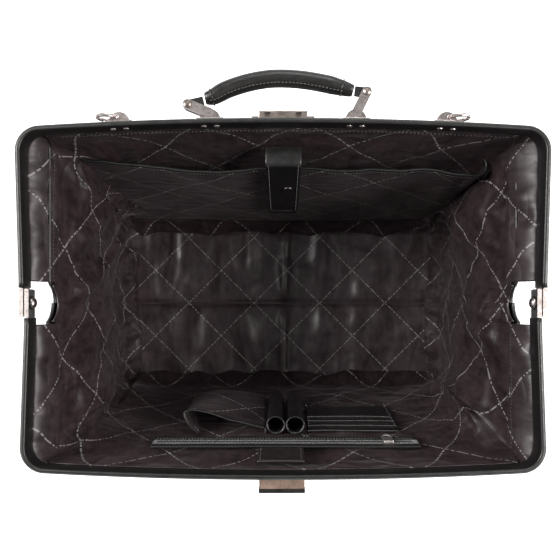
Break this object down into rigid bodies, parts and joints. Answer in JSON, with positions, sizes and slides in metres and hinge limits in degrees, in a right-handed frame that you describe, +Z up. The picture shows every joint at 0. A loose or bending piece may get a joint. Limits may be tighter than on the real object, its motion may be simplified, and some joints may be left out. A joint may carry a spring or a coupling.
{
  "type": "doctor bag",
  "caption": "Open-top doctor bag: soft leather body on a hinged steel frame, with carry handle, lock, strap rings, closing strap and satin-lined pockets.",
  "frame": {"origin": "centre of the base's flat underside", "axes": "+X along the bag's width, +Y towards the half with the handle and lock, +Z up"},
  "size_m": [0.4568, 0.3694, 0.3181],
  "materials": {
    "black_leather": "fine-grained black leather, satin sheen",
    "gusset_leather": "soft black leather",
    "trim_leather": "smooth black leather",
    "brown_flesh_side": "brown suede-like flesh side",
    "charcoal_satin": "warm charcoal satin weave",
    "stiffener_board": "fibre board, hidden between leather and lining",
    "frame_steel": "flat spring steel strip",
    "nickel": "worn nickel plate",
    "lock_nickel": "dull nickel, slightly warm",
    "gunmetal": "dark metal"
  },
  "bodies": {
    "base": {"base_leather": "black_leather", "base_board": "stiffener_board", "floor_lining": "charcoal_satin", "left_gusset": "gusset_leather", "right_gusset": "gusset_leather", "left_gusset_lining": "charcoal_satin", "right_gusset_lining": "charcoal_satin"},
    "hinge_pins": {"left_hinge_pin": "nickel", "right_hinge_pin": "nickel", "left_hinge_washer": "trim_leather", "right_hinge_washer": "trim_leather"},
    "back_wall": {"back_wall_leather": "black_leather", "back_lining": "charcoal_satin", "laptop_pocket": "charcoal_satin"},
    "pocket_tab": {"pocket_tab": "trim_leather", "tab_snap": "gunmetal"},
    "front_wall": {"front_wall_leather": "black_leather", "front_lining": "charcoal_satin", "zip_tape": "trim_leather", "card_pocket": "charcoal_satin", "pen_loop_left": "charcoal_satin", "pen_loop_right": "charcoal_satin", "phone_pocket": "charcoal_satin", "strap_patch": "trim_leather"},
    "zip_slider": {"zip_slider": "nickel"},
    "back_frame": {"back_frame_steel": "frame_steel", "back_frame_leather": "black_leather", "back_hinge_plate_left": "nickel", "back_hinge_plate_right": "nickel", "handle_lug_left": "nickel", "handle_lug_right": "nickel", "ring_lug_left": "nickel", "ring_lug_right": "nickel", "lug_rivet_1": "nickel", "lug_rivet_2": "nickel", "lug_rivet_3": "nickel", "lug_rivet_4": "nickel", "lug_rivet_5": "nickel", "lug_rivet_6": "nickel", "lug_rivet_7": "nickel", "lug_rivet_8": "nickel", "lock_case": "lock_nickel", "lock_screw_left": "nickel", "lock_screw_right": "nickel"},
    "lock_slide": {"lock_slide": "nickel"},
    "front_frame": {"front_frame_steel": "frame_steel", "front_frame_leather": "black_leather", "front_hinge_plate_left": "nickel", "front_hinge_plate_right": "nickel"},
    "closure_strap": {"closure_strap": "brown_flesh_side", "strap_end_clip": "gunmetal"},
    "handle_link_left": {"handle_link_left": "nickel", "handle_screw_left": "lock_nickel"},
    "handle_link_right": {"handle_link_right": "nickel", "handle_screw_right": "lock_nickel"},
    "handle": {"handle_grip": "black_leather", "handle_tab_left": "trim_leather", "handle_tab_right": "trim_leather"},
    "ring_left": {"ring_left": "nickel"},
    "ring_right": {"ring_right": "nickel"}
  },
  "joints": [
    {"name": "hinge_drop", "type": "slide", "parent": "base", "child": "hinge_pins", "axis": [0, 0, 1], "range_m": [-0.1724, 0]},
    {"name": "frame_close", "type": "hinge", "parent": "hinge_pins", "child": "back_frame", "pos_m": [0, 0, 0.308], "axis": [1, 0, 0], "range_deg": [0, 87.6]},
    {"name": "front_frame_close", "type": "hinge", "parent": "hinge_pins", "child": "front_frame", "pos_m": [0, 0, 0.308], "axis": [1, 0, 0], "range_deg": [-87.7, 0]},
    {"name": "back_wall_fold", "type": "hinge", "parent": "base", "child": "back_wall", "pos_m": [0, 0.108, 0.013], "axis": [1, 0, 0], "range_deg": [0, 27.5]},
    {"name": "front_wall_fold", "type": "hinge", "parent": "base", "child": "front_wall", "pos_m": [0, -0.108, 0.013], "axis": [1, 0, 0], "range_deg": [-26.3, 0]},
    {"name": "handle_lift", "type": "hinge", "parent": "back_frame", "child": "handle_link_left", "pos_m": [-0.06313, 0.1635, 0.308], "axis": [0, 0, -1], "range_deg": [0, 24.45]},
    {"name": "handle_swing", "type": "hinge", "parent": "handle_link_left", "child": "handle", "pos_m": [-0.0822, 0.17101, 0.308], "axis": [0, 0, -1], "range_deg": [-20.52, 0]},
    {"name": "right_link_lift", "type": "hinge", "parent": "back_frame", "child": "handle_link_right", "pos_m": [0.06313, 0.1635, 0.308], "axis": [0, 0, -1], "range_deg": [0, 17.95]},
    {"name": "ring_swing_left", "type": "hinge", "parent": "back_frame", "child": "ring_left", "pos_m": [-0.14405, 0.16037, 0.308], "axis": [0, 0, -1], "range_deg": [0, 150]},
    {"name": "ring_swing_right", "type": "hinge", "parent": "back_frame", "child": "ring_right", "pos_m": [0.14405, 0.16037, 0.308], "axis": [0, 0, 1], "range_deg": [0, 150]},
    {"name": "strap_fold", "type": "hinge", "parent": "front_frame", "child": "closure_strap", "pos_m": [-0.001, -0.1522, 0.3], "axis": [1, 0, 0], "range_deg": [-95, 0]},
    {"name": "lock_slide_move", "type": "slide", "parent": "back_frame", "child": "lock_slide", "axis": [1, 0, 0], "range_m": [0, 0.004]},
    {"name": "zip_run", "type": "slide", "parent": "front_wall", "child": "zip_slider", "axis": [1, 0, 0], "range_m": [-0.219, 0]},
    {"name": "pocket_tab_lift", "type": "hinge", "parent": "back_wall", "child": "pocket_tab", "pos_m": [0, 0.14308, 0.26985], "axis": [1, 0, 0], "range_deg": [-88, 0]}
  ],
  "couplings": [
    {"joint": "hinge_drop", "follows": "frame_close", "m_per_rad": -0.1127},
    {"joint": "front_frame_close", "follows": "frame_close", "ratio": -1},
    {"joint": "back_wall_fold", "follows": "frame_close", "ratio": 0.31279},
    {"joint": "front_wall_fold", "follows": "frame_close", "ratio": -0.29909},
    {"joint": "handle_swing", "follows": "handle_lift", "ratio": -0.8351},
    {"joint": "right_link_lift", "follows": "handle_lift", "ratio": 0.73015}
  ]
}
